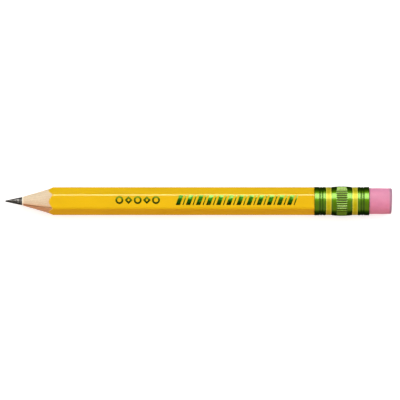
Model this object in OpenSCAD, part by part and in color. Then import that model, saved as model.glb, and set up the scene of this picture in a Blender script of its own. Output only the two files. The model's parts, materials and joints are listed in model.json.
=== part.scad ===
// Half-length hexagonal graphite pencil with a crimped ferrule and an eraser.
// The pencil lies along X with its point towards -X and one barrel face up.
// The origin is on the surface under the ferrule, midway along the length.

/* [Overall] */
// Length from the worn tip to the end of the eraser
overall_length = 101.6; // [80:0.1:190]

/* [Barrel] */
// Across flats of the lacquered hexagon
barrel_across_flats = 6.57; // [5.4:0.01:9]
// Radius of the hexagon's rounded corners
corner_round = 0.9; // [0.3:0.05:1.4]
// Thickness of the lacquer on the wood
lacquer_thickness = 0.1; // [0.08:0.01:0.2]
// Thickness of the glue between the two slats
glue_thickness = 0.05; // [0.02:0.01:0.2]
// Turn of the glue line about the axis: 0 is level, the others run to the next corners
glue_turn = -60; // [-60:60:60]

/* [Core and point] */
// Diameter of the graphite core
core_diameter = 2.2; // [1.6:0.05:3.8]
// Angle between the sharpened core and the axis
core_cone_angle = 12; // [10:0.1:20]
// Angle between the sharpened wood and the axis
wood_cone_angle = 17.4; // [12:0.1:24]
// Radius that the tip has worn to
tip_round = 0.2; // [0.05:0.01:0.4]

/* [Ferrule] */
// Wall of the ferrule's tube
ferrule_wall = 0.25; // [0.2:0.01:0.4]
// Width of the plain ring at the barrel's end
front_ring_width = 2.95; // [2.4:0.05:6]
// Width of each stripe's sunk seat
stripe_width = 1.65; // [0.8:0.05:3]
// Bare metal left in the seat on each side of a stripe
stripe_gap = 0.15; // [0.05:0.01:0.3]
// Width of the crowned band between the stripes
crown_width = 5.25; // [4.2:0.05:10]
// Width of the plain ring at the eraser's end
rear_ring_width = 2.95; // [2.4:0.05:6]
// Height of the crowned band above the rings
crown_rise = 0.15; // [0.05:0.01:0.3]
// Depth of the stripes' surface below the rings
stripe_recess = 0.07; // [0.02:0.01:0.09]
// Thickness of the stripes' lacquer
stripe_thickness = 0.04; // [0.02:0.01:0.06]
// Flare of the ferrule's two rims
rim_flare = 0.03; // [0:0.01:0.1]
// Width of each flared rim
rim_width = 0.35; // [0.2:0.05:0.6]
// Rounding of the rims' edges
rim_round = 0.1; // [0.05:0.01:0.15]

/* [Crimps and flutes] */
// Depth of each crimp groove
crimp_depth = 0.15; // [0.05:0.01:0.2]
// Width of each crimp groove
crimp_width = 0.45; // [0.3:0.05:0.6]
// Distance between the two crimps of a ring
crimp_pitch = 0.66; // [0.6:0.01:1]
// Distance from a stripe to the nearest crimp
crimp_inset = 0.8; // [0.4:0.05:1.2]
// Number of flutes around the crowned band
flute_count = 36; // [12:4:60]
// Length of each flute
flute_length = 2.9; // [1:0.1:4]
// Depth of each flute
flute_depth = 0.14; // [0.05:0.01:0.15]
// Radius of the round groove that makes a flute
flute_radius = 0.22; // [0.15:0.01:0.3]

/* [Tenon and eraser] */
// How far the barrel's corners are turned down inside the ferrule
corner_skim = 0.2; // [0.1:0.01:0.3]
// Length of the barrel that goes into the ferrule
tenon_length = 7.2; // [4:0.1:9]
// Gap between the ferrule and what it is crimped on
crimp_clearance = 0.02; // [0:0.01:0.1]
// Gap between the wood and the eraser's inner end
butt_gap = 0.3; // [0.1:0.1:1]
// Length of the eraser outside the ferrule
eraser_exposed = 6.0; // [3:0.1:12]
// Gap between the ferrule's bore and the eraser's free end
eraser_clearance = 0.07; // [0.03:0.01:0.2]
// Length inside the rim over which the squeezed eraser narrows to its free size
squeeze_taper = 0.7; // [0.6:0.1:1.2]
// Rounding of the eraser's outer edge
eraser_round = 0.35; // [0.1:0.05:1]

/* [Foil imprint] */
// Distance from the sharpened cone to the first mark
stamp_front_margin = 16.4; // [2:0.1:40]
// Least distance from the last mark to the ferrule
stamp_rear_margin = 4; // [1:0.1:20]
// Size of the open marks
mark_size = 2.1; // [1:0.05:2.6]
// Line width of the open marks
mark_line = 0.5; // [0.15:0.01:0.6]
// Number of open marks
mark_count = 5; // [1:1:7]
// Space between the open marks
mark_gap = 0.3; // [0.2:0.05:2]
// Space between the open marks and the slanted bars
group_gap = 4.1; // [1:0.1:8]
// Height of the slanted bars
bar_height = 2.6; // [1:0.05:3]
// Width of a broad bar
bar_width = 1.15; // [0.5:0.05:2]
// Width of the hairline bar beside a broad one
hairline_width = 0.3; // [0.15:0.01:0.5]
// Space between two neighbouring bars
bar_gap = 0.6; // [0.2:0.05:1.5]
// Lean of the slanted bars from upright
bar_lean = 20; // [0:1:40]
// How far the marks sit off the face's centre line
stamp_offset = 0.4; // [-0.5:0.05:0.5]
// Depth that the stamp pressed into the lacquer
stamp_depth = 0.06; // [0.03:0.01:0.07]
// Thickness of the foil
foil_thickness = 0.04; // [0.01:0.01:0.06]

/* [Hidden] */

over = 1;
arc_steps = 6;
crown_steps = 10;

// Radii, from the barrel outwards
core_r = core_diameter / 2;
apothem = barrel_across_flats / 2;
corner_r = (apothem - corner_round) / cos(30) + corner_round;
envelope_r = corner_r + over;
tenon_r = corner_r - corner_skim;
bore_r = tenon_r + crimp_clearance;
ring_r = bore_r + ferrule_wall;
crown_r = ring_r + crown_rise;
stripe_r = ring_r - stripe_recess;
stripe_seat_r = stripe_r - stripe_thickness;
eraser_r = bore_r - eraser_clearance;
axis_z = crown_r;

// Places along the axis, measured back from the tip
core_exposed = core_r / tan(core_cone_angle) - tip_round * (1 / sin(core_cone_angle) - 1);
cone_end = core_exposed + (corner_r - core_r) / tan(wood_cone_angle);
ferrule_length = front_ring_width + 2 * stripe_width + crown_width + rear_ring_width;
ferrule_start = overall_length - eraser_exposed - ferrule_length;
ferrule_end = ferrule_start + ferrule_length;
front_stripe_x = ferrule_start + front_ring_width;
crown_x = front_stripe_x + stripe_width;
rear_stripe_x = crown_x + crown_width;
rear_ring_x = rear_stripe_x + stripe_width;
tenon_end = ferrule_start + tenon_length;
eraser_start = tenon_end + butt_gap;
crimps = [
    front_stripe_x - crimp_inset - crimp_pitch,
    front_stripe_x - crimp_inset,
    rear_ring_x + crimp_inset,
    rear_ring_x + crimp_inset + crimp_pitch
];

// The foil's marks
stamp_x = cone_end + stamp_front_margin;
mark_pitch = mark_size + mark_gap;
bars_x = stamp_x + mark_count * mark_pitch - mark_gap + group_gap;
bars_room = ferrule_start - stamp_rear_margin - bars_x;
bar_slant = bar_height * tan(bar_lean);
bar_pair = bar_width + hairline_width + 2 * bar_gap;
bar_count = max(0, floor((bars_room + bar_gap - bar_slant) / bar_pair));

// Points of an arc about a centre, from one angle to another
function arc(centre, radius, from, to, steps = arc_steps) = [
    for (i = [0 : steps])
        let (a = from + (to - from) * i / steps)
            [centre[0] + radius * cos(a), centre[1] + radius * sin(a)]
];

// Outline of the hexagon with its corners rounded, with corners at 0, 60, 120 degrees
function rounded_hexagon(flat, round) = [
    for (corner = [0 : 60 : 300])
        let (reach = (flat - round) / cos(30))
            each arc([reach * cos(corner), reach * sin(corner)], round, corner - 30, corner + 30)
];

// A crimp's dip into a line of radius r, as [radius, place] points in order along the axis
function dip(r, place) = [
    for (i = [0 : arc_steps])
        [r - crimp_depth * (1 - cos(360 * i / arc_steps)) / 2,
            place + crimp_width * (i / arc_steps - 0.5)]
];

// The crowned band's swell over a line of radius r
function swell(r) = [
    for (i = [0 : crown_steps])
        [r + crown_rise * sin(180 * i / crown_steps), crown_x + crown_width * i / crown_steps]
];

// The dips of those crimps that fall between two places, in a line of radius r
function crimps_between(r, from, to) = [
    for (place = crimps)
        if (place > from && place < to)
            each dip(r, place)
];

// Puts a shape drawn along +Z from the tip onto the pencil's axis
module along_axis() {
    translate([-overall_length / 2, 0, axis_z])
        rotate([0, 90, 0])
            children();
}

// Hexagonal prism with two faces level
module hexagon_prism(flat, round, from, to) {
    along_axis()
        translate([0, 0, from])
            linear_extrude(to - from)
                rotate(90)
                    polygon(rounded_hexagon(flat, round));
}

// What the sharpener and the shoulder cutter leave of the barrel
module turned_barrel() {
    reach = (envelope_r - core_r) / tan(wood_cone_angle);
    outline = concat(
        [[core_r, core_exposed]],
        [[envelope_r, core_exposed + reach]],
        [[envelope_r, ferrule_start]],
        [[tenon_r, ferrule_start]],
        crimps_between(tenon_r, ferrule_start, tenon_end),
        [[tenon_r, tenon_end]],
        [[core_r, tenon_end]]
    );
    along_axis()
        rotate_extrude($fn = 96)
            polygon(outline);
}

// The wood before the two slats are told apart
module wood() {
    intersection() {
        hexagon_prism(apothem - lacquer_thickness, corner_round - lacquer_thickness,
            core_exposed - over, tenon_end + over);
        turned_barrel();
    }
}

// A slab that spans the barrel between two distances from the axis, turned as the glue line is
module slab(low, high) {
    translate([0, 0, axis_z])
        rotate([glue_turn, 0, 0])
            translate([-overall_length / 2, -envelope_r, low])
                cube([overall_length, 2 * envelope_r, high - low]);
}

module graphite_core() {
    tip = arc([0, tip_round], tip_round, -90, -core_cone_angle);
    color("dimgray")
        along_axis()
            rotate_extrude($fn = 64)
                polygon(concat(tip, [[core_r, core_exposed], [core_r, tenon_end], [0, tenon_end]]));
}

module slat_upper() {
    color("burlywood")
        intersection() {
            wood();
            slab(glue_thickness / 2, envelope_r);
        }
}

module slat_lower() {
    color("burlywood")
        intersection() {
            wood();
            slab(-envelope_r, -glue_thickness / 2);
        }
}

module glue_film() {
    color("ivory")
        intersection() {
            wood();
            slab(-glue_thickness / 2, glue_thickness / 2);
        }
}

// A diamond or a circle drawn as an open line
module open_mark(round) {
    difference() {
        if (round)
            circle(d = mark_size, $fn = 48);
        else
            circle(d = mark_size, $fn = 4);
        if (round)
            circle(d = mark_size - 2 * mark_line, $fn = 48);
        else
            circle(d = mark_size - 2 * mark_line / cos(45), $fn = 4);
    }
}

// A solid bar that leans towards the eraser
module slanted_bar(width) {
    polygon([
        [0, -bar_height / 2],
        [width, -bar_height / 2],
        [width + bar_slant, bar_height / 2],
        [bar_slant, bar_height / 2]
    ]);
}

// The whole imprint, between two heights above the axis
module imprint(low, high) {
    translate([-overall_length / 2, stamp_offset, axis_z + low])
        linear_extrude(high - low) {
            for (i = [0 : mark_count - 1])
                translate([stamp_x + mark_size / 2 + i * mark_pitch, 0])
                    open_mark(i % 2 == 0);
            for (i = [0 : 1 : bar_count - 1])
                translate([bars_x + i * bar_pair, 0]) {
                    slanted_bar(bar_width);
                    translate([bar_width + bar_gap, 0])
                        slanted_bar(hairline_width);
                }
        }
}

module lacquer_coat() {
    color("gold")
        difference() {
            intersection() {
                difference() {
                    hexagon_prism(apothem, corner_round, core_exposed - over, ferrule_start);
                    hexagon_prism(apothem - lacquer_thickness, corner_round - lacquer_thickness,
                        core_exposed - 2 * over, ferrule_start + over);
                }
                turned_barrel();
            }
            imprint(apothem - stamp_depth, apothem + over);
        }
}

module foil_imprint() {
    color("seagreen")
        imprint(apothem - stamp_depth, apothem - stamp_depth + foil_thickness);
}

// The ferrule's outer line, from the front rim to the rear one
function ferrule_outside() = concat(
    [[ring_r + rim_flare - rim_round, ferrule_start]],
    [[ring_r + rim_flare, ferrule_start + rim_round]],
    [[ring_r, ferrule_start + rim_width]],
    crimps_between(ring_r, ferrule_start, front_stripe_x),
    [[ring_r, front_stripe_x]],
    [[stripe_seat_r, front_stripe_x]],
    [[stripe_seat_r, crown_x]],
    swell(ring_r),
    [[stripe_seat_r, rear_stripe_x]],
    [[stripe_seat_r, rear_ring_x]],
    [[ring_r, rear_ring_x]],
    crimps_between(ring_r, rear_ring_x, ferrule_end),
    [[ring_r, ferrule_end - rim_width]],
    [[ring_r + rim_flare, ferrule_end - rim_round]],
    [[ring_r + rim_flare - rim_round, ferrule_end]]
);

// The ferrule's inner line: straight, but for the crimps' ridges and the crown's hollow
function ferrule_inside() = concat(
    [[bore_r, ferrule_start]],
    crimps_between(bore_r, ferrule_start, front_stripe_x),
    swell(bore_r),
    crimps_between(bore_r, rear_ring_x, ferrule_end),
    [[bore_r, ferrule_end]]
);

function reversed(list) = [for (i = [len(list) - 1 : -1 : 0]) list[i]];

module flutes() {
    flute_r = crown_r - flute_depth + flute_radius;
    for (i = [0 : flute_count - 1])
        rotate((i + 0.5) * 360 / flute_count)
            translate([flute_r, 0, crown_x + (crown_width - flute_length) / 2])
                cylinder(r = flute_radius, h = flute_length, $fn = 24);
}

module ferrule() {
    color("olivedrab")
        along_axis()
            difference() {
                rotate_extrude($fn = 96)
                    polygon(concat(ferrule_outside(), reversed(ferrule_inside())));
                flutes();
            }
}

module ferrule_stripes() {
    color("khaki")
        along_axis()
            for (place = [front_stripe_x, rear_stripe_x])
                translate([0, 0, place + stripe_gap])
                    difference() {
                        cylinder(r = stripe_r, h = stripe_width - 2 * stripe_gap, $fn = 96);
                        translate([0, 0, -over])
                            cylinder(r = stripe_seat_r, h = stripe_width + 2 * over, $fn = 96);
                    }
}

module eraser() {
    outline = concat(
        [[0, eraser_start]],
        [[tenon_r, eraser_start]],
        crimps_between(tenon_r, eraser_start, ferrule_end),
        [[tenon_r, ferrule_end - squeeze_taper]],
        [[eraser_r, ferrule_end]],
        arc([eraser_r - eraser_round, overall_length - eraser_round], eraser_round, 0, 90),
        [[0, overall_length]]
    );
    color("palevioletred")
        along_axis()
            rotate_extrude($fn = 96)
                polygon(outline);
}

graphite_core();
slat_upper();
slat_lower();
glue_film();
lacquer_coat();
foil_imprint();
ferrule();
ferrule_stripes();
eraser();
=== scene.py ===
# %% [markdown]
# # A short hexagonal pencil
#
# This script dresses the imported model of a half-length wooden pencil: graphite core, two glued
# wood slats, yellow lacquer, a green foil imprint, a crimped aluminium ferrule and an eraser.
# The imported model says where every piece is and how large it is. The cells below build each
# visible piece but the glue film again as a fine mesh in that same place, and give each a
# procedural finish.

# %% Load the imported model and read its sizes
import json
import math

import bmesh
import bpy
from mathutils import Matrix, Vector, noise


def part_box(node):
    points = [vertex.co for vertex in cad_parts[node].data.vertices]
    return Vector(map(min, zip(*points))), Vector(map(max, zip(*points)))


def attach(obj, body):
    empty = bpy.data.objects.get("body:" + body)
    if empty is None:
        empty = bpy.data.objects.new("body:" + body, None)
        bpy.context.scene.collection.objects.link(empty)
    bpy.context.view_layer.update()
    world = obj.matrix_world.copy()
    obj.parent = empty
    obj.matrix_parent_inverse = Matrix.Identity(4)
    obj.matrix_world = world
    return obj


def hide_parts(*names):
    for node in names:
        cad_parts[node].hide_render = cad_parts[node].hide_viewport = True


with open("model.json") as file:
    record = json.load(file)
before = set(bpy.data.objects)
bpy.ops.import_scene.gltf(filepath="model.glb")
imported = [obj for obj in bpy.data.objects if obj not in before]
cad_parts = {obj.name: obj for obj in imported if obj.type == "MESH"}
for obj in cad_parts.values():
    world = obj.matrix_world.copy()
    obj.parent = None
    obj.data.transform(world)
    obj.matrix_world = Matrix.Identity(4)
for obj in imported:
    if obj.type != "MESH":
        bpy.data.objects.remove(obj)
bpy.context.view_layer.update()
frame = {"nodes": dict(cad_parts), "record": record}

scene = bpy.context.scene
MM = 0.001
TURN = 2 * math.pi

core_low, core_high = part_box("graphite_core")
slat_low, slat_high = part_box("slat_upper")
coat_low, coat_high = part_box("lacquer_coat")
foil_low, foil_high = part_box("foil_imprint")
ferrule_low, ferrule_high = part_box("ferrule")
stripe_low, stripe_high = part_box("ferrule_stripes")
eraser_low, eraser_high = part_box("eraser")
mounts = {mount["name"]: mount for mount in frame["record"]["mounts"]}

AXIS_Z = (core_low.z + core_high.z) / 2
TIP_X = core_low.x
CORE_R = core_high.y
WOOD_X = slat_low.x
FLAT_R = coat_high.z - AXIS_Z
CORNER_R = coat_high.y
COAT = coat_high.z - slat_high.z
CORNER_ROUND = (FLAT_R / math.cos(TURN / 12) - CORNER_R) / (1 / math.cos(TURN / 12) - 1)
CONE_SLOPE = (FLAT_R - COAT - CORE_R) / (coat_low.x - WOOD_X)
CROWN_R = ferrule_high.y
FREE_ERASER_R = mounts["eraser_end"]["dims"]["r_mm"] * MM
print(f"axis {AXIS_Z / MM:.3f} mm up, flats {FLAT_R / MM:.3f} mm and corners {CORNER_R / MM:.3f} mm out")
cone_degrees = math.degrees(math.atan(CONE_SLOPE))
print(f"corners rounded to {CORNER_ROUND / MM:.2f} mm, wood cone {cone_degrees:.1f} deg")

# %% [markdown]
# ## Helpers for finishes
#
# Every finish below is built from the same few nodes: the piece's own Object coordinates,
# stretched or shifted by a Mapping node, a noise pattern, and a ramp that turns the pattern
# into colour, roughness or height. Small functions keep those lines short.

# %% Node helpers
MIX_COLOUR_INPUTS = (0, 6, 7)
MIX_COLOUR_OUTPUT = 2
NOISE_LOW = 0.3
NOISE_HIGH = 0.7


def node_material(name):
    """A new material, its node tree and its Principled shader."""
    material = bpy.data.materials.new(name)
    material.use_nodes = True
    tree = material.node_tree
    return material, tree, tree.nodes["Principled BSDF"]


def put(socket, value):
    """Links a socket to an input, or sets the input to a value."""
    if isinstance(value, bpy.types.NodeSocket):
        socket.id_data.links.new(value, socket)
    else:
        socket.default_value = value


def tree_of(*values):
    """The node tree of the first socket among some values."""
    return next(value.id_data for value in values if isinstance(value, bpy.types.NodeSocket))


def feed(node, **values):
    """Links or sets a node's inputs by their names."""
    for name, value in values.items():
        put(node.inputs[name.replace("_", " ")], value)


def add(tree, kind, **settings):
    """A new node with its properties set and its inputs linked or set."""
    node = tree.nodes.new(kind)
    for name, value in settings.items():
        if hasattr(node, name):
            setattr(node, name, value)
        else:
            feed(node, **{name: value})
    return node


def own_coordinates(tree, scale=(1, 1, 1), shift=(0, 0, 0)):
    """The piece's own coordinates, scaled and shifted."""
    place = add(tree, "ShaderNodeTexCoord").outputs["Object"]
    return add(tree, "ShaderNodeMapping", Vector=place, Scale=scale, Location=shift).outputs["Vector"]


def noise_pattern(tree, scale, detail, roughness=0.5):
    """Noise in the piece's own coordinates: three scales stretch it, and one keeps it even."""
    stretch, size = (scale, 1.0) if isinstance(scale, tuple) else ((1, 1, 1), scale)
    return add(tree, "ShaderNodeTexNoise", Vector=own_coordinates(tree, stretch), Scale=size,
               Detail=detail, Roughness=roughness).outputs["Fac"]


def ramp(factor, stops):
    """A colour ramp through (place, colour) stops."""
    node = add(factor.id_data, "ShaderNodeValToRGB", Fac=factor)
    elements = node.color_ramp.elements
    elements.remove(elements[-1])
    elements[0].position = stops[0][0]
    elements[0].color = (*stops[0][1], 1)
    for place, colour in stops[1:]:
        elements.new(place).color = (*colour, 1)
    return node.outputs["Color"]


def map_range(value, low, high, to_low=0.0, to_high=1.0, smooth=False):
    mode = "SMOOTHSTEP" if smooth else "LINEAR"
    return add(value.id_data, "ShaderNodeMapRange", interpolation_type=mode, Value=value, From_Min=low,
               From_Max=high, To_Min=to_low, To_Max=to_high).outputs["Result"]


def spread(pattern, low, high):
    """Spreads the middle values of a noise pattern from low to high."""
    return map_range(pattern, NOISE_LOW, NOISE_HIGH, low, high)


def maths(operation, a, b=0.0):
    node = add(tree_of(a, b), "ShaderNodeMath", operation=operation)
    put(node.inputs[0], a)
    put(node.inputs[1], b)
    return node.outputs["Value"]


def blended(factor, a, b, mode="MIX"):
    """Mixes two colours, each a socket or an (r, g, b)."""
    node = add(tree_of(factor, a, b), "ShaderNodeMix", data_type="RGBA", blend_type=mode)
    for place, value in zip(MIX_COLOUR_INPUTS, (factor, a, b), strict=True):
        put(node.inputs[place], (*value, 1) if isinstance(value, tuple) else value)
    return node.outputs[MIX_COLOUR_OUTPUT]


def bumped(heights):
    """Chains (height, strength, distance in metres) into one normal."""
    normal = None
    for height, strength, far in heights:
        node = add(height.id_data, "ShaderNodeBump", Height=height, Strength=strength, Distance=far)
        if normal is not None:
            feed(node, Normal=normal)
        normal = node.outputs["Normal"]
    return normal


def separated(vector):
    return add(vector.id_data, "ShaderNodeSeparateXYZ", Vector=vector).outputs


def distance(across, up):
    """Length of the way across and up together."""
    squares = maths("ADD", maths("MULTIPLY", across, across), maths("MULTIPLY", up, up))
    return maths("SQRT", squares)


def axis_radius(tree):
    """Distance from the pencil's axis, and the place along it."""
    x, y, z = separated(own_coordinates(tree, shift=(0, 0, -AXIS_Z)))
    return distance(y, z), x


# %% [markdown]
# ## Camera, floor and light
#
# The pencil lies flat and is seen from almost straight above, tipped two degrees so that the face
# on the far side shows a little more than the near one. A long lens keeps the barrel's edges
# parallel, as a catalogue picture does. One wide soft light serves the surfaces, a second is seen
# only in reflections and leaves a bright line on the far corner, and a narrow warm one fills the
# near side. The floor glows a little, which keeps it white.

# %% Camera
VIEW_WIDTH = 105.1 * MM
VIEW_TILT = math.radians(2)
AIM = Vector((0.35 * MM, 0.30 * MM, AXIS_Z))
LENS = 500
CLIP_RATIO = 20

camera_data = bpy.data.cameras.new("camera")
camera_data.lens = LENS
camera = bpy.data.objects.new("camera", camera_data)
scene.collection.objects.link(camera)
camera_distance = VIEW_WIDTH * LENS / camera_data.sensor_width
back = Vector((0, math.sin(VIEW_TILT), math.cos(VIEW_TILT)))
camera.location = AIM + back * camera_distance
camera.rotation_euler = (-VIEW_TILT, 0, 0)
camera_data.clip_start = camera_distance / CLIP_RATIO
camera_data.clip_end = camera_distance * CLIP_RATIO
scene.camera = camera
print(f"camera {camera_distance:.3f} m away with a {LENS} mm lens")


# %% Floor
def floor_material():
    material, _, shader = node_material("pale_floor")
    feed(shader, Base_Color=(0.5, 0.5, 0.5, 1), Roughness=0.9, Specular_IOR_Level=0.2,
         Emission_Color=(1, 1, 1, 1), Emission_Strength=0.72)
    return material


FLOOR_SIZE = 4
bpy.ops.mesh.primitive_plane_add(size=FLOOR_SIZE)
floor = bpy.context.object
floor.name = "floor"
floor.data.materials.append(floor_material())
floor.visible_glossy = False


# %% Lights
def soft_light(name, degrees, away, width, length, radiance, seen_by, colour=(1, 1, 1)):
    """A soft box some degrees from straight above towards +Y, aimed at the pencil's axis."""
    tilt = math.radians(degrees)
    data = bpy.data.lights.new(name, "AREA")
    data.shape = "RECTANGLE"
    data.size = length
    data.size_y = width
    data.energy = radiance * math.pi * width * length
    data.color = colour
    light = bpy.data.objects.new(name, data)
    scene.collection.objects.link(light)
    light.location = (0, away * math.sin(tilt), AXIS_Z + away * math.cos(tilt))
    light.rotation_euler = (-tilt, 0, 0)
    light.visible_camera = False
    light.visible_diffuse = seen_by == "surfaces"
    light.visible_glossy = seen_by == "reflections"


soft_light("top_softbox", 22, 0.7, 0.55, 1.4, 2.95, "surfaces")
soft_light("highlight_panel", 46, 0.6, 0.5, 0.8, 7.5, "reflections", (1, 0.97, 0.66))
soft_light("warm_fill", -66, 0.8, 0.16, 1.4, 3.7, "surfaces", (1, 0.32, 0.08))


# %% World
WORLD_LIGHT = 0.18
WORLD_MIRRORED = 1.25
STRIP_TINT = (1, 0.95, 0.10)
BESIDE_TINT = (1, 0.97, 0.72)
ENDS_TINT = (0.55, 0.42, 0.16)
BELOW_HORIZON = 0.01


def studio_world():
    """Pale above the horizon and, at the pencil's two ends, below it too. Dark below at the sides.

    Mirrored, it is brighter and tinted: yellow square to the pencil, then pale, dim at the ends.
    """
    result = bpy.data.worlds.new("studio")
    result.use_nodes = True
    tree = result.node_tree
    x, _, z = separated(add(tree, "ShaderNodeTexCoord").outputs["Generated"])
    ray = add(tree, "ShaderNodeLightPath").outputs
    endwise = maths("ABSOLUTE", x)
    above = map_range(z, -0.05, 0.3, BELOW_HORIZON, 1.0, True)
    shape = maths("MAXIMUM", above, map_range(endwise, 0.6, 0.95, 0.0, 1.0, True))
    mirrored = map_range(ray["Is Glossy Ray"], 0, 1, WORLD_LIGHT, WORLD_MIRRORED)
    strength = maths("MULTIPLY", shape, maths("MAXIMUM", mirrored, ray["Is Camera Ray"]))
    tint = blended(map_range(endwise, 0.5, 0.85, 0.0, 1.0, True), BESIDE_TINT, ENDS_TINT)
    tint = blended(map_range(endwise, 0.15, 0.4, 1.0, 0.0, True), tint, STRIP_TINT)
    tint = blended(ray["Is Glossy Ray"], (1, 1, 1), tint)
    feed(tree.nodes["Background"], Strength=strength, Color=tint)
    return result


scene.world = studio_world()
scene.view_settings.view_transform = "Standard"


# %% [markdown]
# ## Helpers for meshes
#
# Nearly every piece of a pencil is turned or drawn along one axis. So one helper turns a line
# round that axis, another skins rows of points, and each mesh is cleaned the same way: doubles
# merged, faces turned outwards, and edges sharper than a set angle kept crisp.

# %% Mesh helpers
SHARP_ANGLE = math.radians(32)
MERGE = 0.5e-6


def crisp(mesh, angle):
    """Smooth shading, with the edges sharper than an angle kept crisp."""
    mesh.shade_smooth()
    mesh.set_sharp_from_angle(angle=angle)


def make_piece(name, points, faces, sharp=SHARP_ANGLE):
    """A clean, smooth-shaded mesh object at the origin."""
    mesh = bpy.data.meshes.new(name)
    mesh.from_pydata(points, [], faces)
    work = bmesh.new()
    work.from_mesh(mesh)
    bmesh.ops.remove_doubles(work, verts=work.verts, dist=MERGE)
    bmesh.ops.dissolve_degenerate(work, dist=MERGE / 2, edges=work.edges)
    bmesh.ops.recalc_face_normals(work, faces=work.faces)
    work.to_mesh(mesh)
    work.free()
    crisp(mesh, sharp)
    piece = bpy.data.objects.new(name, mesh)
    scene.collection.objects.link(piece)
    return piece


def skin(rows, along=False):
    """Faces between rows of points: closed around each row, and from the last row to the first."""
    count, width = len(rows), len(rows[0])
    faces = []
    for i in range(count if along else count - 1):
        a, b = i * width, (i + 1) % count * width
        for j in range(width):
            k = (j + 1) % width
            faces.append((a + j, a + k, b + k, b + j))
    return faces


def all_points(rows):
    return [point for row in rows for point in row]


def turned(name, line, steps, sharp=SHARP_ANGLE, closed=False, shape=None):
    """Turns a line of (place along X, radius) points round the pencil's axis."""
    rows = []
    for x, radius in line:
        row = []
        for j in range(steps):
            angle = TURN * j / steps
            r, dx = shape(x, radius, angle) if shape else (radius, 0)
            row.append((x + dx, r * math.sin(angle), AXIS_Z + r * math.cos(angle)))
        rows.append(row)
    return make_piece(name, all_points(rows), skin(rows, along=closed), sharp)


def arc(x, r, radius, start, end, steps):
    """Points of a round between two angles, measured from +X towards larger radii."""
    angles = [start + (end - start) * i / steps for i in range(steps + 1)]
    return [(x + radius * math.cos(a), r + radius * math.sin(a)) for a in angles]


def report(piece):
    """Prints a piece's triangles, whether every edge has two faces, its volume and its box."""
    work = bmesh.new()
    work.from_mesh(piece.data)
    shut = all(len(edge.link_faces) == 2 for edge in work.edges)
    volume = work.calc_volume(signed=True)
    work.free()
    triangles = sum(len(face.vertices) - 2 for face in piece.data.polygons)
    sides = [[v.co[i] / MM for v in piece.data.vertices] for i in range(3)]
    spans = " ".join(f"{min(side):.2f}..{max(side):.2f}" for side in sides)
    print(f"{piece.name}: {triangles} triangles, closed {shut}, {volume / MM**3:.2f} mm3, box {spans}")


def finish_piece(piece, materials, node_names):
    """Gives a piece its materials, hides the imported parts it stands in for, puts it on the frame's one
    body and prints a report.
    """
    for material in materials:
        piece.data.materials.append(material)
    if node_names:
        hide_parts(*node_names)
    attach(piece, "root")
    report(piece)


# %% [markdown]
# ## The barrel's outline
#
# A pencil's hexagon has soft corners, because the slats are shaped by moulding cutters and then
# painted several times. The outline is worked out once, as points with their outward direction,
# so that the wood, the paint's inner side and the paint's outer side all share it and stay a
# constant thickness apart. Points crowd at the corners, where the surface turns.

# %% Outline of the hexagon
CORNER_STEPS = 10
FLAT_STEPS = 10
FLAT_EDGE = 0.06 * MM


def hexagon_outline():
    """Outline points of the painted hexagon as (y, z, normal y, normal z), z from the axis."""
    reach = (FLAT_R - CORNER_ROUND) / math.cos(TURN / 12)
    half_flat = reach / 2
    outline = []
    for corner in range(6):
        middle = TURN * corner / 6
        for i in range(CORNER_STEPS + 1):
            a = middle + TURN / 12 * (2 * i / CORNER_STEPS - 1)
            y = reach * math.cos(middle) + CORNER_ROUND * math.cos(a)
            z = reach * math.sin(middle) + CORNER_ROUND * math.sin(a)
            outline.append((y, z, math.cos(a), math.sin(a)))
        a = middle + TURN / 12
        for i in range(FLAT_STEPS + 1):
            t = -half_flat + FLAT_EDGE + (2 * half_flat - 2 * FLAT_EDGE) * i / FLAT_STEPS
            y = FLAT_R * math.cos(a) - t * math.sin(a)
            z = FLAT_R * math.sin(a) + t * math.cos(a)
            outline.append((y, z, math.cos(a), math.sin(a)))
    return outline


OUTLINE = hexagon_outline()
PAINT_WOBBLE = 0.09 * MM
CONE_LENGTH = (CORNER_R - CORE_R) / CONE_SLOPE
HOLLOW_GRIND = 0.34


def inset(depth):
    """The outline moved inwards, as (y, z) points."""
    return [(y - depth * ny, z - depth * nz) for y, z, ny, nz in OUTLINE]


def edge_wobble(angle):
    """How far the sharpened edge strays along the axis at an angle: cutters leave it uneven."""
    around = Vector((math.cos(angle), math.sin(angle), 0))
    return PAINT_WOBBLE * (noise.noise(around * 1.7) + 0.6 * noise.noise(around * 6.0))


def cone_x(radius, angle):
    """Where the sharpened cone has grown to a radius. The grinding wheel leaves it a little hollow."""
    share = (radius - CORE_R) / (CORNER_R - CORE_R)
    hollow = share + HOLLOW_GRIND * share**2 * (1 - share)
    return WOOD_X + CONE_LENGTH * hollow + edge_wobble(angle) * share


print(f"{len(OUTLINE)} outline points, wobble up to {PAINT_WOBBLE / MM:.2f} mm")

# %% [markdown]
# ## Graphite core
#
# The core is a fired rod of graphite and clay. Only its sharpened end shows. It could be a plain
# cone, but a blade leaves long shallow facets and fine rings, and the tip is a little blunt, so
# the cone is turned with a small unevenness that fades out where it meets the wood.

# %% Graphite core
CORE_STEPS = 96
POINT_PARTS = 48
ROD_PARTS = 6
TIP_ROUND = 0.2 * MM
FACET_DEPTH = 0.045 * MM
RING_DEPTH = 0.004 * MM
RING_PITCH = 0.16 * MM


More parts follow.
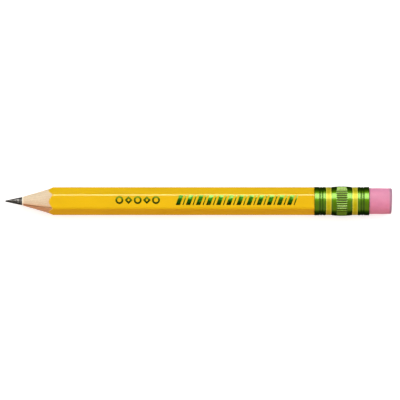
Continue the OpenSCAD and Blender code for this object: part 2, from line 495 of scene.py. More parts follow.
def core_line():
    """Half outline of the core: rounded tip, cone, straight rod and flat end."""
    exposed = WOOD_X - TIP_X
    half_angle = math.atan(CORE_R / exposed)
    for _ in range(20):
        half_angle = math.atan((CORE_R - TIP_ROUND * math.cos(half_angle))
                               / (exposed - TIP_ROUND + TIP_ROUND * math.sin(half_angle)))
    tip = arc(TIP_X + TIP_ROUND, 0, TIP_ROUND, math.pi, math.pi / 2 + half_angle, 8)
    start = tip[-1]
    cone = [(start[0] + (WOOD_X - start[0]) * t / POINT_PARTS,
             start[1] + (CORE_R - start[1]) * t / POINT_PARTS) for t in range(1, POINT_PARTS + 1)]
    rod = [(WOOD_X + (core_high.x - WOOD_X) * t / ROD_PARTS, CORE_R) for t in range(1, ROD_PARTS + 1)]
    return [(TIP_X, 0)] + tip[1:] + cone + rod + [(core_high.x, 0)]


def whittled(x, radius, angle):
    """Long facets and faint rings on the sharpened part, none at the wood."""
    if x > WOOD_X or radius == 0:
        return radius, 0
    share = radius / CORE_R
    fade = min(1, (WOOD_X - x) / (0.5 * MM)) * min(1, share * 4)
    around = Vector((math.cos(angle) * 1.6, math.sin(angle) * 1.6, x / MM * 0.12))
    facets = FACET_DEPTH * share * (noise.noise(around) - 0.35)
    rings = RING_DEPTH * math.sin((x - TIP_X) / RING_PITCH)
    return radius + fade * (min(facets, 0) + rings - RING_DEPTH), 0


core = turned("graphite_point", core_line(), CORE_STEPS, shape=whittled)

# %% [markdown]
# ### Graphite finish
#
# Sharpened graphite is dark grey with a soft metallic sheen. Burnished bands run round it where
# the blade pressed, streaks run along it, and the very tip is almost black. The sheen comes from
# a high metallic value and a roughness pattern.


# %% Graphite material
def graphite_material():
    material, tree, shader = node_material("graphite")
    streaks = noise_pattern(tree, (900, 6000, 6000), 6, 0.6)
    rings = noise_pattern(tree, (5200, 500, 500), 3, 0.5)
    mottle = noise_pattern(tree, 2500, 5)
    tone = maths("ADD", maths("MULTIPLY", streaks, 0.5), maths("MULTIPLY", rings, 0.5))
    grey = ramp(tone, [(0.36, (0.005, 0.005, 0.007)), (0.5, (0.046, 0.045, 0.062)),
                             (0.64, (0.215, 0.21, 0.29))])
    _, x = axis_radius(tree)
    near_tip = map_range(x, TIP_X, TIP_X + 2.2 * MM, 0.15, 1.0)
    dark = blended(1.0, grey, ramp(near_tip, [(0, (0, 0, 0)), (1, (1, 1, 1))]), "MULTIPLY")
    normal = bumped([(rings, 0.5, 0.02 * MM), (streaks, 0.4, 0.01 * MM)])
    feed(shader, Base_Color=dark, Roughness=spread(mottle, 0.28, 0.38), Metallic=0.85,
         Specular_IOR_Level=0.2, Normal=normal)
    return material


finish_piece(core, [graphite_material()], ["graphite_core"])

# %% [markdown]
# ## Wood slats
#
# The barrel is a sandwich: two grooved slats glued round the core, with the glue line running
# from corner to corner. Each slat is skinned from lines that run the length of the pencil: along
# the cone, along the hexagon, down the shoulder, along the tenon and back through the groove.
# The cone's lines end exactly on the paint's edge, which gives the true scalloped border.

# %% Slats
CONE_STEPS = 44
CHATTER = 0.006 * MM
CHATTER_PITCH = 0.62 * MM
TENON_R = eraser_high.y
GLUE_TURN = math.radians(-60)
GLUE_HALF = 0.025 * MM


def slat_line(y, z):
    """Points (x, radius) along the slat at the direction of an outline point."""
    hexagon = math.hypot(y, z)
    angle = math.atan2(z, y) + GLUE_TURN
    line = []
    for i in range(CONE_STEPS + 1):
        t = i / CONE_STEPS
        radius = CORE_R + (hexagon - CORE_R) * t
        x = cone_x(radius, angle)
        ripple = CHATTER * math.sin(TURN * x / CHATTER_PITCH + angle) * math.sin(math.pi * t)
        line.append((x, radius + ripple))
    tenon = min(hexagon, TENON_R)
    line += [(coat_high.x, hexagon), (coat_high.x, tenon), (slat_high.x, tenon)]
    line += [(slat_high.x, CORE_R), ((slat_high.x + WOOD_X) / 2, CORE_R)]
    return line


def turned_back(x, y, z):
    """A point of a slat drawn with its glue face level, turned to where the glue line runs."""
    c, s = math.cos(GLUE_TURN), math.sin(GLUE_TURN)
    return (x, y * c - z * s, AXIS_Z + y * s + z * c)


def slat(name, side):
    """One half of the wood. side is 1 for the upper and -1 for the lower."""
    outer = [(y, z) for y, z in inset(COAT) if z * side > GLUE_HALF * 1.5]
    outer.sort(key=lambda point: math.atan2(point[1] * side, point[0]))
    edge = CORNER_R - COAT
    directions = [(edge, 0)] + outer + [(-edge, 0)]
    rows = []
    for y, z in directions:
        size = math.hypot(y, z)
        row = []
        for x, radius in slat_line(y, z):
            if z == 0:
                flat = math.sqrt(radius**2 - GLUE_HALF**2)
                row.append(turned_back(x, math.copysign(flat, y), side * GLUE_HALF))
            else:
                row.append(turned_back(x, radius * y / size, radius * z / size))
        rows.append(row)
    points = all_points(rows)
    faces = skin(rows)
    width = len(rows[0])
    faces += [tuple(range(width)), tuple(range(len(points) - width, len(points)))]
    return make_piece(name, points, faces, math.radians(28))


upper_slat = slat("wood_slat_upper", 1)
lower_slat = slat("wood_slat_lower", -1)

# %% [markdown]
# ### Wood finish
#
# Pencil wood is straight-grained: pale sapwood with orange-brown heartwood beside it, parted by a
# dark line. Growth rings are upright planes that run out slowly across the pencil, so a sine of
# the distance across them gives the bands, and a ramp at one plane turns sapwood to heartwood.
# Short dark pores, fine fibres and a trace of graphite dust beside the core finish it, and a
# painted glow pales the wood to cream where the cone meets the core.


# %% Wood material
GRAIN_RUNOUT = 0.1
GRAIN_WAVER = 0.1 * MM
RING_SPACING = 0.47 * MM
HEART_EDGE = -0.79 * MM


def wood_material(name, pale, tan, brown, flush, heart):
    """Straight grain in upright planes that run out slowly across the pencil."""
    material, tree, shader = node_material(name)
    x, y, _ = separated(own_coordinates(tree, shift=(-WOOD_X, 0, -AXIS_Z)))
    waver = noise_pattern(tree, (110, 500, 500), 3)
    across = maths("ADD", y, maths("MULTIPLY", x, GRAIN_RUNOUT))
    across = maths("ADD", across, spread(waver, -GRAIN_WAVER, GRAIN_WAVER))
    rings = maths("SINE", maths("MULTIPLY", across, TURN / RING_SPACING))
    fibres = noise_pattern(tree, (220, 9000, 9000), 6, 0.65)
    broad = noise_pattern(tree, (90, 700, 700), 3)
    pores = noise_pattern(tree, (900, 14000, 14000), 2, 0.5)
    base = blended(map_range(rings, -0.2, 1.0, 0.0, 0.7), pale, tan)
    base = blended(map_range(broad, 0.35, 0.7, 0.0, 0.4), base, tan)
    near_heart = map_range(across, HEART_EDGE * 0.3, HEART_EDGE * 0.85, 0.0, 0.9, True)
    base = blended(near_heart, base, flush)
    past_edge = map_range(across, HEART_EDGE * 0.85, HEART_EDGE, 0.0, 1.0, True)
    base = blended(past_edge, base, heart)
    deep_heart = map_range(across, HEART_EDGE, HEART_EDGE * 1.3, 0.0, 1.0, True)
    late = maths("MULTIPLY", map_range(rings, 0.1, 0.9, 0.0, 0.5), deep_heart)
    base = blended(late, base, brown)
    near_edge = maths("ABSOLUTE", maths("SUBTRACT", across, HEART_EDGE))
    edge_line = map_range(near_edge, 0.07 * MM, 0.22 * MM, 1.0, 0.0, True)
    edge_line = maths("MULTIPLY", edge_line, map_range(waver, 0.35, 0.6, 0.55, 1.0))
    base = blended(edge_line, base, brown)
    base = blended(map_range(fibres, 0.45, 0.75, 0.0, 0.4), base, brown)
    base = blended(map_range(pores, 0.66, 0.74, 0.0, 0.5), base, (0.30, 0.16, 0.09))
    # Painted light: the thin wood next to the core is paled to cream, as if light glowed through it.
    core_edge_painted_glow = map_range(x, 0.1 * MM, 0.5 * MM, 0.9, 0.0, True)
    base = blended(core_edge_painted_glow, base, (0.98, 0.92, 0.78))
    dust_edge = map_range(x, 0, 0.14 * MM, 0.5, 0.0, True)
    dust = maths("MULTIPLY", dust_edge, map_range(fibres, 0.35, 0.6))
    base = blended(dust, base, (0.16, 0.15, 0.14))
    normal = bumped([(fibres, 0.35, 0.02 * MM), (pores, 0.3, 0.01 * MM)])
    feed(shader, Base_Color=base, Roughness=spread(fibres, 0.55, 0.8),
         Specular_IOR_Level=0.3, Normal=normal)
    return material


pale_wood = wood_material("slat_wood_pale", (0.79, 0.645, 0.46), (0.70, 0.52, 0.34), (0.36, 0.18, 0.07),
                          (0.86, 0.57, 0.34), (0.66, 0.38, 0.20))
pink_wood = wood_material("slat_wood_pink", (0.72, 0.46, 0.27), (0.62, 0.36, 0.19), (0.32, 0.14, 0.06),
                          (0.72, 0.44, 0.25), (0.64, 0.35, 0.18))
finish_piece(upper_slat, [pale_wood], ["slat_upper"])
finish_piece(lower_slat, [pink_wood], ["slat_lower"])


# %% [markdown]
# ### Glue line
#
# The film of glue between the slats shows only as a hairline on the cone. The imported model's own
# solid has the right shape, so it stays and only gets a finish.

# %% Glue material
def glue_material():
    material, tree, shader = node_material("wood_glue")
    speckle = noise_pattern(tree, (900, 4000, 4000), 3)
    colour = ramp(speckle, [(0.3, (0.42, 0.27, 0.15)), (0.7, (0.62, 0.45, 0.28))])
    feed(shader, Base_Color=colour, Roughness=0.6)
    return material


glue = frame["nodes"]["glue_film"]
glue.data.materials.clear()
glue.data.materials.append(glue_material())

# %% [markdown]
# ## Foil imprint
#
# A heated die presses metallic foil into the face that looks up. The row of marks is plain
# ornament: open rings and diamonds, then broad leaning bars with a hairline beside each. One
# Geometry Nodes tree repeats any mark along the barrel, and with taller marks it also makes
# the cutters that press the marks' beds into the paint.

# %% One mark of each kind
MARK_SIZE = 2.1 * MM
MARK_LINE = 0.5 * MM
MARK_PITCH = 2.4 * MM
MARK_COUNT = 5
RING_SIDES = 48
DIAMOND_SIDES = 4
GROUP_GAP = 4.1 * MM
BAR_WIDTH = 1.15 * MM
HAIRLINE = 0.3 * MM
BAR_GAP = 0.6 * MM
BAR_LEAN = math.tan(math.radians(20))
BAR_HEIGHT = foil_high.y - foil_low.y
BAR_PITCH = BAR_WIDTH + HAIRLINE + 2 * BAR_GAP
BARS_X = foil_low.x + (MARK_COUNT - 1) * MARK_PITCH + MARK_SIZE + GROUP_GAP
BAR_COUNT = round((foil_high.x + BAR_GAP - BARS_X - BAR_HEIGHT * BAR_LEAN) / BAR_PITCH)
FOIL_Y = (foil_low.y + foil_high.y) / 2
FOIL_THICK = foil_high.z - foil_low.z
BED_DEPTH = coat_high.z - foil_low.z
print(f"{MARK_COUNT} open marks and {BAR_COUNT} pairs of bars, bed {BED_DEPTH / MM:.3f} mm deep")


def bar_mark(width, height):
    """A leaning bar with its lower left corner at the origin's line."""
    half, lean = BAR_HEIGHT / 2, BAR_HEIGHT * BAR_LEAN
    flat = [(0, -half), (width, -half), (width + lean, half), (lean, half)]
    points = [(x, y, z) for z in (0, height) for x, y in flat]
    faces = [(3, 2, 1, 0), (4, 5, 6, 7)] + [(i, (i + 1) % 4, (i + 1) % 4 + 4, i + 4) for i in range(4)]
    return points, faces


def open_mark(sides, height):
    """An open ring or diamond, centred half its size from the origin."""
    outer = MARK_SIZE / 2
    inner = outer - MARK_LINE / math.cos(math.pi / sides)
    angles = [TURN * i / sides for i in range(sides)]
    rows = [[(outer + radius * math.cos(a), radius * math.sin(a), z) for a in angles]
            for radius, z in ((outer, 0), (outer, height), (inner, height), (inner, 0))]
    return all_points(rows), skin(rows, along=True)


# %% [markdown]
# The tree sets copies of one mark along X. Its inputs are the mark, how many, how far apart,
# where the first one goes and the material.

# %% Geometry Nodes tree for a row of marks
def new_tree(name, **inputs):
    """A Geometry Nodes tree with named inputs, and the sockets that give them."""
    tree = bpy.data.node_groups.new(name, "GeometryNodeTree")
    for label, kind in inputs.items():
        tree.interface.new_socket(label.replace("_", " "), in_out="INPUT", socket_type="NodeSocket" + kind)
    tree.interface.new_socket("Geometry", in_out="OUTPUT", socket_type="NodeSocketGeometry")
    return tree, tree.nodes.new("NodeGroupInput").outputs


def end_tree(tree, geometry, material):
    """Ends a tree with real geometry in one material."""
    real = add(tree, "GeometryNodeRealizeInstances", Geometry=geometry)
    paint = add(tree, "GeometryNodeSetMaterial", Geometry=real.outputs["Geometry"], Material=material)
    add(tree, "NodeGroupOutput", Geometry=paint.outputs["Geometry"])
    return tree


def row_tree():
    tree, given = new_tree("row_of_marks", Geometry="Geometry", Mark="Object", Count="Int",
                           Spacing="Float", First_Place="Vector", Material="Material")
    step = add(tree, "ShaderNodeCombineXYZ", X=given["Spacing"]).outputs["Vector"]
    line = add(tree, "GeometryNodeMeshLine", Count=given["Count"], Start_Location=given["First Place"],
               Offset=step).outputs["Mesh"]
    mark = add(tree, "GeometryNodeObjectInfo", Object=given["Mark"]).outputs["Geometry"]
    copies = add(tree, "GeometryNodeInstanceOnPoints", Points=line, Instance=mark)
    return end_tree(tree, copies.outputs["Instances"], given["Material"])


def set_inputs(modifier, values):
    """Sets a Geometry Nodes modifier's inputs by their names, through their identifiers."""
    for item in modifier.node_group.interface.items_tree:
        if item.in_out == "INPUT" and item.name in values:
            modifier[item.identifier] = values[item.name]


def applied(piece):
    """The piece's evaluated mesh, with its modifiers taken off."""
    graph = bpy.context.evaluated_depsgraph_get()
    mesh = bpy.data.meshes.new_from_object(piece.evaluated_get(graph))
    piece.modifiers.clear()
    piece.data = mesh
    return piece


ROW_TREE = row_tree()


def row_of(mark, count, spacing, place, material):
    """One row of a mark as a plain mesh object, made by the tree."""
    template = make_piece("mark_template", *mark)
    host = bpy.data.objects.new("mark_row", bpy.data.meshes.new("mark_row"))
    scene.collection.objects.link(host)
    modifier = host.modifiers.new("row", "NODES")
    modifier.node_group = ROW_TREE
    set_inputs(modifier, {"Mark": template, "Count": count, "Spacing": spacing, "First Place": place,
                          "Material": material})
    applied(host)
    bpy.data.objects.remove(template)
    return host


def joined(name, pieces):
    """Joins plain mesh objects at the origin into one."""
    work = bmesh.new()
    for piece in pieces:
        work.from_mesh(piece.data)
        bpy.data.objects.remove(piece)
    mesh = bpy.data.meshes.new(name)
    work.to_mesh(mesh)
    work.free()
    result = bpy.data.objects.new(name, mesh)
    scene.collection.objects.link(result)
    return result


def imprint(name, low, height, material):
    """The whole ornament as one mesh from a height up."""
    rings = math.ceil(MARK_COUNT / 2)
    rows = (
        (open_mark(RING_SIDES, height), rings, 2 * MARK_PITCH, foil_low.x),
        (open_mark(DIAMOND_SIDES, height), MARK_COUNT - rings, 2 * MARK_PITCH, foil_low.x + MARK_PITCH),
        (bar_mark(BAR_WIDTH, height), BAR_COUNT, BAR_PITCH, BARS_X),
        (bar_mark(HAIRLINE, height), BAR_COUNT, BAR_PITCH, BARS_X + BAR_WIDTH + BAR_GAP),
    )
    return joined(name, [row_of(mark, count, pitch, (x, FOIL_Y, low), material)
                         for mark, count, pitch, x in rows])


# %% [markdown]
# ### Foil finish
#
# Hot-stamped foil is a very thin coloured metal film. Each mark is painted from light green at
# the top to nearly black at the bottom, a painted reflection of light above and shade below. A
# ramp across the barrel gives that painted reflection, a mottle breaks it up, and a few specks are
# missing from the film.


# %% Foil material
def foil_material():
    material, tree, shader = node_material("green_foil")
    mottle = noise_pattern(tree, (700, 1500, 1500), 5, 0.6)
    grain = noise_pattern(tree, 9000, 3)
    specks = noise_pattern(tree, 6500, 2)
    x, y, _ = separated(own_coordinates(tree))
    # Painted reflection: lighter towards the top of each mark and darker towards the bottom.
    height = map_range(y, foil_low.y, foil_high.y, 0.05, 0.95)
    painted_reflection_tone = maths("ADD", height, spread(mottle, -0.22, 0.22))
    green = ramp(painted_reflection_tone, [(0.15, (0.002, 0.014, 0.001)), (0.45, (0.006, 0.06, 0.003)),
                               (0.68, (0.03, 0.22, 0.02)), (0.9, (0.34, 0.66, 0.22))])
    olive = ramp(painted_reflection_tone, [(0.15, (0.012, 0.020, 0.001)), (0.55, (0.035, 0.06, 0.002)),
                               (0.9, (0.16, 0.24, 0.02))])
    colour = blended(map_range(x, BARS_X - GROUP_GAP, BARS_X), olive, green)
    colour = blended(map_range(specks, 0.68, 0.74, 0.0, 0.8), colour, (0.62, 0.45, 0.02))
    normal = bumped([(grain, 0.3, 0.006 * MM), (mottle, 0.5, 0.03 * MM)])
    feed(shader, Base_Color=colour, Roughness=spread(mottle, 0.3, 0.45), Metallic=0.7,
         Specular_IOR_Level=0.1, Normal=normal)
    return material


GREEN_FOIL = foil_material()
foil = imprint("foil_marks", foil_low.z, FOIL_THICK, GREEN_FOIL)
finish_piece(foil, [GREEN_FOIL], ["foil_imprint"])

# %% [markdown]
# ## Lacquer coat
#
# The yellow paint is a skin a tenth of a millimetre thick. Its outer and inner sides follow the
# same outline, and at the point both stop on the sharpened cone, so the cut paint shows as a
# thin scalloped rim. The imprint's cutters then press their beds into the upper face.

# %% Lacquer mesh
COAT_STEPS = 36
COAT_SHARP = math.radians(25)
CUTTER_RISE = 0.2 * MM
RIM_NORMAL_X = -0.15


def lacquer_rows():
    """Rows along the barrel: outside from the cone to the ferrule, then back along the inside."""
    outer = [(y, z) for y, z, _, _ in OUTLINE]
    inner = inset(COAT)
    rows = []
    for points, order in ((outer, range(COAT_STEPS + 1)), (inner, range(COAT_STEPS, -1, -1))):
        for i in order:
            row = []
            for y, z in points:
                start = cone_x(math.hypot(y, z), math.atan2(z, y))
                t = (i / COAT_STEPS) ** 1.5
                row.append((start + (coat_high.x - start) * t, y, AXIS_Z + z))
            rows.append(row)
    return rows


def cut_beds(piece):
    """Presses the imprint's beds into the lacquer with an exact Boolean."""
    cutters = imprint("bed_cutters", foil_low.z, BED_DEPTH + CUTTER_RISE, None)
    modifier = piece.modifiers.new("beds", "BOOLEAN")
    modifier.operation = "DIFFERENCE"
    modifier.solver = "EXACT"
    modifier.object = cutters
    applied(piece)
    bpy.data.objects.remove(cutters)
    crisp(piece.data, COAT_SHARP)


coat_rows = lacquer_rows()
lacquer = make_piece("lacquer_skin", all_points(coat_rows), skin(coat_rows, along=True), COAT_SHARP)
report(lacquer)
cut_beds(lacquer)


# %% [markdown]
# ### Lacquer finish
#
# Pencil lacquer goes on in many thin coats and ends up deep, glossy and very slightly uneven:
# the wood's grain shows through as faint ripples. Every corner is painted browner, as painted
# shade. A clear coat on top carries the gloss. The cut rim at the cone is matt.

# %% Lacquer materials
def lacquer_material():
    material, tree, shader = node_material("yellow_lacquer")
    cloud = noise_pattern(tree, (60, 220, 220), 3)
    grain = noise_pattern(tree, (120, 2600, 2600), 4, 0.55)
    peel = noise_pattern(tree, 1500, 2, 0.4)
    specks = noise_pattern(tree, 5200, 2)
    colour = ramp(cloud, [(0.3, (0.76, 0.455, 0.001)), (0.7, (0.82, 0.50, 0.002))])
    radius, _ = axis_radius(tree)
    # Painted shade: the colour turns browner towards each of the six corners.
    corner = map_range(radius, FLAT_R + 0.6 * (CORNER_R - FLAT_R), CORNER_R, 0.0, 0.2, True)
    colour = blended(corner, colour, (0.46, 0.26, 0.001))
    colour = blended(map_range(specks, 0.73, 0.77, 0.0, 0.35), colour, (0.55, 0.28, 0.01))
    normal = bumped([(grain, 0.12, 0.02 * MM), (peel, 0.12, 0.03 * MM)])
    feed(shader, Base_Color=colour, Roughness=spread(grain, 0.26, 0.36),
         Specular_IOR_Level=0.05, Coat_Weight=1.0, Coat_Roughness=0.09, Normal=normal,
         Coat_Normal=normal)
    return material


def cut_lacquer_material():
    material, tree, shader = node_material("cut_lacquer")
    layers = noise_pattern(tree, (7000, 1500, 1500), 3)
    colour = ramp(layers, [(0.35, (0.62, 0.33, 0.01)), (0.65, (0.86, 0.55, 0.08))])
    feed(shader, Base_Color=colour, Roughness=0.55)
    return material


def is_cut_rim(face):
    """True for the narrow band where the sharpener went through the paint."""
    high = max(lacquer.data.vertices[i].co.x for i in face.vertices)
    return high < WOOD_X + CONE_LENGTH + PAINT_WOBBLE and face.normal.x < RIM_NORMAL_X


finish_piece(lacquer, [lacquer_material(), cut_lacquer_material()], ["lacquer_coat"])
rim_faces = 0
for face in lacquer.data.polygons:
    if is_cut_rim(face):
        face.material_index = 1
        rim_faces += 1
print(f"{rim_faces} faces in the cut rim")

# %% [markdown]
# ## Ferrule
#
# The ferrule is a thin aluminium tube, anodised green. Rolls press two narrow crimps into each
# plain ring, sink a seat for each stripe and swell the middle band, and a toothed roll cuts the
# flutes. The tube is turned from one closed line, and a Geometry Nodes tree then presses the
# flutes, because their shape is a simple rule of the angle round the axis.

# %% Ferrule line
FERRULE_STEPS = 480
WALL = 0.25 * MM
CLEARANCE = 0.02 * MM
RING_R = TENON_R + CLEARANCE + WALL
BORE_R = RING_R - WALL
CROWN_RISE = CROWN_R - RING_R
SEAT_WIDTH = 1.65 * MM
STRIPE_GAP = 0.15 * MM
STRIPE_THICK = 0.04 * MM
STRIPE_R = stripe_high.y
SEAT_R = STRIPE_R - STRIPE_THICK
CRIMP_DEPTH = 0.15 * MM
CRIMP_WIDTH = 0.45 * MM
CRIMP_PITCH = 0.66 * MM
CRIMP_INSET = 0.8 * MM
RIM_FLARE = 0.03 * MM
RIM_WIDTH = 0.35 * MM
RIM_ROUND = 0.18 * MM
FRONT_SEAT_X = stripe_low.x - STRIPE_GAP
REAR_SEAT_END = stripe_high.x + STRIPE_GAP
CROWN_X = FRONT_SEAT_X + SEAT_WIDTH
CROWN_END = REAR_SEAT_END - SEAT_WIDTH
SOFT = 0.05 * MM
FRONT_CRIMPS = [FRONT_SEAT_X - CRIMP_INSET - CRIMP_PITCH, FRONT_SEAT_X - CRIMP_INSET]
REAR_CRIMPS = [REAR_SEAT_END + CRIMP_INSET, REAR_SEAT_END + CRIMP_INSET + CRIMP_PITCH]


def crimp(place, radius, steps=12):
    """A smooth dip in a line at a place."""
    line = []
    for i in range(steps + 1):
        depth = CRIMP_DEPTH * (1 - math.cos(TURN * i / steps)) / 2
        line.append((place + CRIMP_WIDTH * (i / steps - 0.5), radius - depth))
    return line


def crown(radius, steps=40):
    """The swelling of the middle band over a radius."""
    width = CROWN_END - CROWN_X
    return [(CROWN_X + width * i / steps, radius + CROWN_RISE * math.sin(math.pi * i / steps))
            for i in range(steps + 1)]


def stripe_seat(start, end):
    """A sunk seat with softened upper edges."""
    return [(start - SOFT, RING_R), (start, RING_R - SOFT / 2), (start, SEAT_R), (end, SEAT_R),
            (end, RING_R - SOFT / 2), (end + SOFT, RING_R)]


def ferrule_line():
    """The tube's closed outline: outside from front to rear, then back along the bore."""
    front, rear = ferrule_low.x, ferrule_high.x
    foot, centre_r = RING_R + RIM_FLARE / 8, RING_R + RIM_FLARE - RIM_ROUND
    outside = arc(front + RIM_ROUND, centre_r, RIM_ROUND, math.pi, math.pi / 2, 5)
    outside += [(front + RIM_WIDTH, foot), (front + RIM_WIDTH + SOFT, RING_R)]
    for place in FRONT_CRIMPS:
        outside += crimp(place, RING_R)
    outside += stripe_seat(FRONT_SEAT_X, CROWN_X)[:-1] + crown(RING_R)[1:-1]
    outside += stripe_seat(CROWN_END, REAR_SEAT_END)[1:]
    for place in REAR_CRIMPS:
        outside += crimp(place, RING_R)
    outside += [(rear - RIM_WIDTH - SOFT, RING_R), (rear - RIM_WIDTH, foot)]
    outside += arc(rear - RIM_ROUND, centre_r, RIM_ROUND, math.pi / 2, 0, 5)
    inside = [(front, BORE_R + SOFT), (front + SOFT, BORE_R)]
    for place in FRONT_CRIMPS:
        inside += crimp(place, BORE_R, 6)
    inside += crown(BORE_R, 10)
    for place in REAR_CRIMPS:
        inside += crimp(place, BORE_R, 6)
    inside += [(rear - SOFT, BORE_R), (rear, BORE_R + SOFT)]
    return outside + inside[::-1]


ferrule = turned("ferrule_tube", ferrule_line(), FERRULE_STEPS, math.radians(40), closed=True)
report(ferrule)

# %% [markdown]
# The flute tree moves points of the crowned band inwards. It turns each point's place round the
# axis into an angle, multiplies it by the number of flutes and takes a cosine, so the count
# always closes. A power leaves the crests broader than the grooves, a soft window keeps them
# to the middle of the band, and a threshold on the radius leaves the bore alone.


# %% Geometry Nodes tree for the flutes
FLUTE_COUNT = 36
FLUTE_DEPTH = 0.21 * MM
FLUTE_LENGTH = 2.9 * MM
GROOVE_POWER = 1.5
FLUTE_FADE = 0.25 * MM


def flute_tree():
    tree, given = new_tree("pressed_flutes", Geometry="Geometry", Flute_Count="Int", Flute_Depth="Float",
                           Flute_Length="Float", Fade="Float", Band_Middle="Float",
                           Axis_Height="Float", Least_Radius="Float", Material="Material")
    x, y, z = separated(add(tree, "GeometryNodeInputPosition").outputs["Position"])
    up = maths("SUBTRACT", z, given["Axis Height"])
    radius = distance(y, up)
    angle = maths("ARCTAN2", y, up)
    wave = maths("COSINE", maths("MULTIPLY", angle, given["Flute Count"]))
    groove = maths("MULTIPLY", maths("SUBTRACT", 1.0, wave), 0.5)
    groove = maths("POWER", groove, GROOVE_POWER)
    off_middle = maths("ABSOLUTE", maths("SUBTRACT", x, given["Band Middle"]))
    past = maths("SUBTRACT", maths("MULTIPLY", given["Flute Length"], 0.5), off_middle)
    window = map_range(past, 0.0, given["Fade"], smooth=True)
    outside = maths("GREATER_THAN", radius, given["Least Radius"])
    groove = maths("MULTIPLY", groove, maths("MULTIPLY", window, outside))
    pull = maths("DIVIDE", maths("MULTIPLY", groove, given["Flute Depth"]), radius)
    back_y, back_z = (maths("MULTIPLY", maths("MULTIPLY", side, pull), -1.0) for side in (y, up))
    offset = add(tree, "ShaderNodeCombineXYZ", Y=back_y, Z=back_z).outputs["Vector"]
    mark = add(tree, "GeometryNodeStoreNamedAttribute", Geometry=given["Geometry"], Name="groove",
               Value=groove).outputs["Geometry"]
    move = add(tree, "GeometryNodeSetPosition", Geometry=mark, Offset=offset)
    return end_tree(tree, move.outputs["Geometry"], given["Material"])


# %% [markdown]
# ### Ferrule finish
#
# Anodised aluminium is a coloured metal: bright where it mirrors the light and nearly black where
# it mirrors shade. Fine lines run round it from rolling, and handling leaves small scratches.
# The flute tree stored how deep each point sits in a groove. The roll scrapes the grooves'
# sides pale, and the grooves' bottoms are darkened with painted shade.


# %% Ferrule material
def ferrule_material():
    material, tree, shader = node_material("green_anodised_aluminium")
    rolled = noise_pattern(tree, (9000, 260, 260), 4, 0.6)
    cloud = noise_pattern(tree, 600, 3)
    scratch = noise_pattern(tree, (500, 7000, 7000), 2, 0.5)
    colour = ramp(cloud, [(0.3, (0.032, 0.108, 0.001)), (0.7, (0.042, 0.128, 0.002))])
    groove = add(tree, "ShaderNodeAttribute", attribute_name="groove").outputs["Fac"]
    flank = map_range(groove, 0.03, 0.2, 0.0, 0.85, True)
    colour = blended(flank, colour, (0.09, 0.165, 0.04))
    # Painted shade at the bottom of each groove.
    groove_painted_shade = map_range(groove, 0.5, 0.85, 0.0, 1.0, True)
    colour = blended(groove_painted_shade, colour, (0.004, 0.012, 0.002))
    normal = bumped([(rolled, 0.18, 0.01 * MM), (scratch, 0.08, 0.01 * MM)])
    feed(shader, Base_Color=colour, Roughness=spread(rolled, 0.38, 0.46), Metallic=1.0,
         Coat_Weight=0.9, Coat_Roughness=0.12, Normal=normal)
    return material


GREEN_METAL = ferrule_material()
flutes = ferrule.modifiers.new("flutes", "NODES")
flutes.node_group = flute_tree()
set_inputs(flutes, {
    "Flute Count": FLUTE_COUNT, "Flute Depth": FLUTE_DEPTH, "Flute Length": FLUTE_LENGTH,
    "Fade": FLUTE_FADE, "Band Middle": (CROWN_X + CROWN_END) / 2, "Axis Height": AXIS_Z,
    "Least Radius": RING_R - WALL / 4, "Material": GREEN_METAL,
})
applied(ferrule)
ferrule.data.materials.clear()
finish_piece(ferrule, [GREEN_METAL], ["ferrule"])

# %% [markdown]
# ## Stripes
#
# The two yellow stripes are rings of lacquer printed in the ferrule's seats. They are turned as
# thin closed rings with rounded shoulders. Their edges are painted paler, as painted highlights,
# and the metal under them gives them a slight sheen.

# %% Stripes
STRIPE_STEPS = 128
STRIPE_WIDTH = SEAT_WIDTH - 2 * STRIPE_GAP
STRIPE_SHARP = math.radians(50)


def stripe(start):
    end = start + STRIPE_WIDTH
    round_r = STRIPE_THICK * 0.8
    line = arc(start + round_r, STRIPE_R - round_r, round_r, math.pi, math.pi / 2, 4)
    line += [(start + STRIPE_WIDTH / 4, STRIPE_R), (start + STRIPE_WIDTH * 3 / 4, STRIPE_R)]
    line += arc(end - round_r, STRIPE_R - round_r, round_r, math.pi / 2, 0, 4)
    line += [(end, SEAT_R), (start, SEAT_R)]
    return turned("stripe", line, STRIPE_STEPS, STRIPE_SHARP, closed=True)


def stripe_material():
    material, tree, shader = node_material("yellow_stripe_lacquer")
    cloud = noise_pattern(tree, 900, 3)
    colour = ramp(cloud, [(0.3, (0.41, 0.36, 0.002)), (0.7, (0.48, 0.42, 0.003))])
    _, x = axis_radius(tree)
    middles = (stripe_low.x + STRIPE_WIDTH / 2, stripe_high.x - STRIPE_WIDTH / 2)
    off = [maths("ABSOLUTE", maths("SUBTRACT", x, middle)) for middle in middles]
    off = maths("MINIMUM", *off)
    # Painted highlight: each stripe is paler towards its two edges.
    edge = map_range(off, STRIPE_WIDTH * 0.26, STRIPE_WIDTH / 2, 0.0, 0.8, True)
    colour = blended(edge, colour, (0.78, 0.70, 0.10))
    feed(shader, Base_Color=colour, Roughness=spread(cloud, 0.3, 0.42), Metallic=0.1,
         Specular_IOR_Level=0.2, Coat_Weight=0.15, Coat_Roughness=0.12,
         Normal=bumped([(cloud, 0.1, 0.02 * MM)]))
    return material


stripes = joined("stripe_rings", [stripe(stripe_low.x), stripe(CROWN_END + STRIPE_GAP)])
crisp(stripes.data, STRIPE_SHARP)
finish_piece(stripes, [stripe_material()], ["ferrule_stripes"])

# %% [markdown]
# ## Eraser
#
# The eraser is a plug of pink rubber, cut from a rod and pressed into the ferrule, which grips it
# at the crimps. The outer end is cut a little off square and its edge is worn round, so the end
# is tilted slightly and the round grows and shrinks round the rim.

# %% Eraser
ERASER_STEPS = 160
END_ROUND = 0.38 * MM
END_TILT = math.radians(1.6)
TAPER = 0.7 * MM


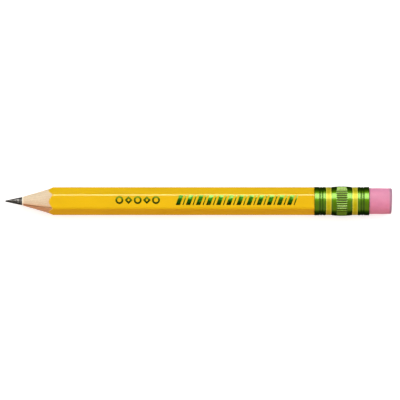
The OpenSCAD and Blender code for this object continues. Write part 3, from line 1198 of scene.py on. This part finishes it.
def eraser_line():
    start, rim, end = eraser_low.x, ferrule_high.x, eraser_high.x
    line = [(start, 0), (start, TENON_R * 0.6), (start, TENON_R)]
    for place in REAR_CRIMPS:
        line += crimp(place, TENON_R, 8)
    line += [(rim - TAPER, TENON_R), (rim, FREE_ERASER_R)]
    straight = end - END_ROUND - rim
    inner = FREE_ERASER_R - END_ROUND
    line += [(rim + straight * t / 16, FREE_ERASER_R) for t in range(1, 16)]
    line += arc(end - END_ROUND, inner, END_ROUND, math.pi / 2, 0, 10)
    return line + [(end, inner * t / 12) for t in range(11, -1, -1)]


def rubbed(x, radius, angle):
    """Soft unevenness of the free end, and its slightly slanted cut."""
    free = (x - ferrule_high.x) / (eraser_high.x - ferrule_high.x)
    if free <= 0:
        return radius, 0
    around = Vector((radius * math.cos(angle), radius * math.sin(angle), x)) / MM
    dent = 0.035 * MM * (noise.noise(around * 0.4) - 0.6) * min(1, free * 3) * radius / FREE_ERASER_R
    slant = math.tan(END_TILT) * (radius * math.sin(angle) - FREE_ERASER_R)
    hollow = -0.02 * MM * abs(noise.noise(around * 0.7))
    return radius + dent, (slant + hollow) * free**2


eraser = turned("eraser_plug", eraser_line(), ERASER_STEPS, math.radians(60), shape=rubbed)


# %% [markdown]
# ### Eraser finish
#
# Pink rubber is matt and faintly translucent. Its skin has a fine, gritty tooth from the pumice in
# it, and handling leaves soft paler and darker clouds. The rounded rim of the free end is darkened
# with painted shade, and the foot is darker next to the ferrule.

# %% Eraser material
def eraser_material():
    material, tree, shader = node_material("pink_rubber")
    cloud = noise_pattern(tree, 420, 4)
    grit = noise_pattern(tree, 5200, 4, 0.6)
    specks = noise_pattern(tree, 3800, 2)
    colour = ramp(cloud, [(0.3, (0.63, 0.205, 0.36)), (0.7, (0.70, 0.245, 0.405))])
    colour = blended(map_range(specks, 0.68, 0.75, 0.0, 0.4), colour, (0.78, 0.40, 0.52))
    radius, x = axis_radius(tree)
    # Painted shade on the rounded rim of the free end; the foot next to the ferrule is darker too.
    to_end = map_range(x, eraser_high.x - 0.9 * MM, eraser_high.x - 0.45 * MM, 0.0, 1.0, True)
    to_side = map_range(radius, FREE_ERASER_R - 1.3 * MM, FREE_ERASER_R - 0.5 * MM, 0.0, 1.0, True)
    to_rim = map_range(x, ferrule_high.x, ferrule_high.x + 0.45 * MM, 0.45, 0.0, True)
    rim_shade_and_foot_darkening = maths("MAXIMUM", maths("MULTIPLY", to_end, to_side), to_rim)
    rim_shade_and_foot_darkening = maths("MULTIPLY", rim_shade_and_foot_darkening, spread(cloud, 0.65, 0.95))
    colour = blended(rim_shade_and_foot_darkening, colour, (0.30, 0.17, 0.26))
    normal = bumped([(grit, 0.35, 0.03 * MM), (cloud, 0.2, 0.05 * MM)])
    feed(shader, Base_Color=colour, Roughness=spread(grit, 0.55, 0.75),
         Subsurface_Weight=0.15, Subsurface_Radius=(1.0, 0.4, 0.4), Subsurface_Scale=0.4 * MM,
         Specular_IOR_Level=0.35, Normal=normal)
    return material


finish_piece(eraser, [eraser_material()], ["eraser"])
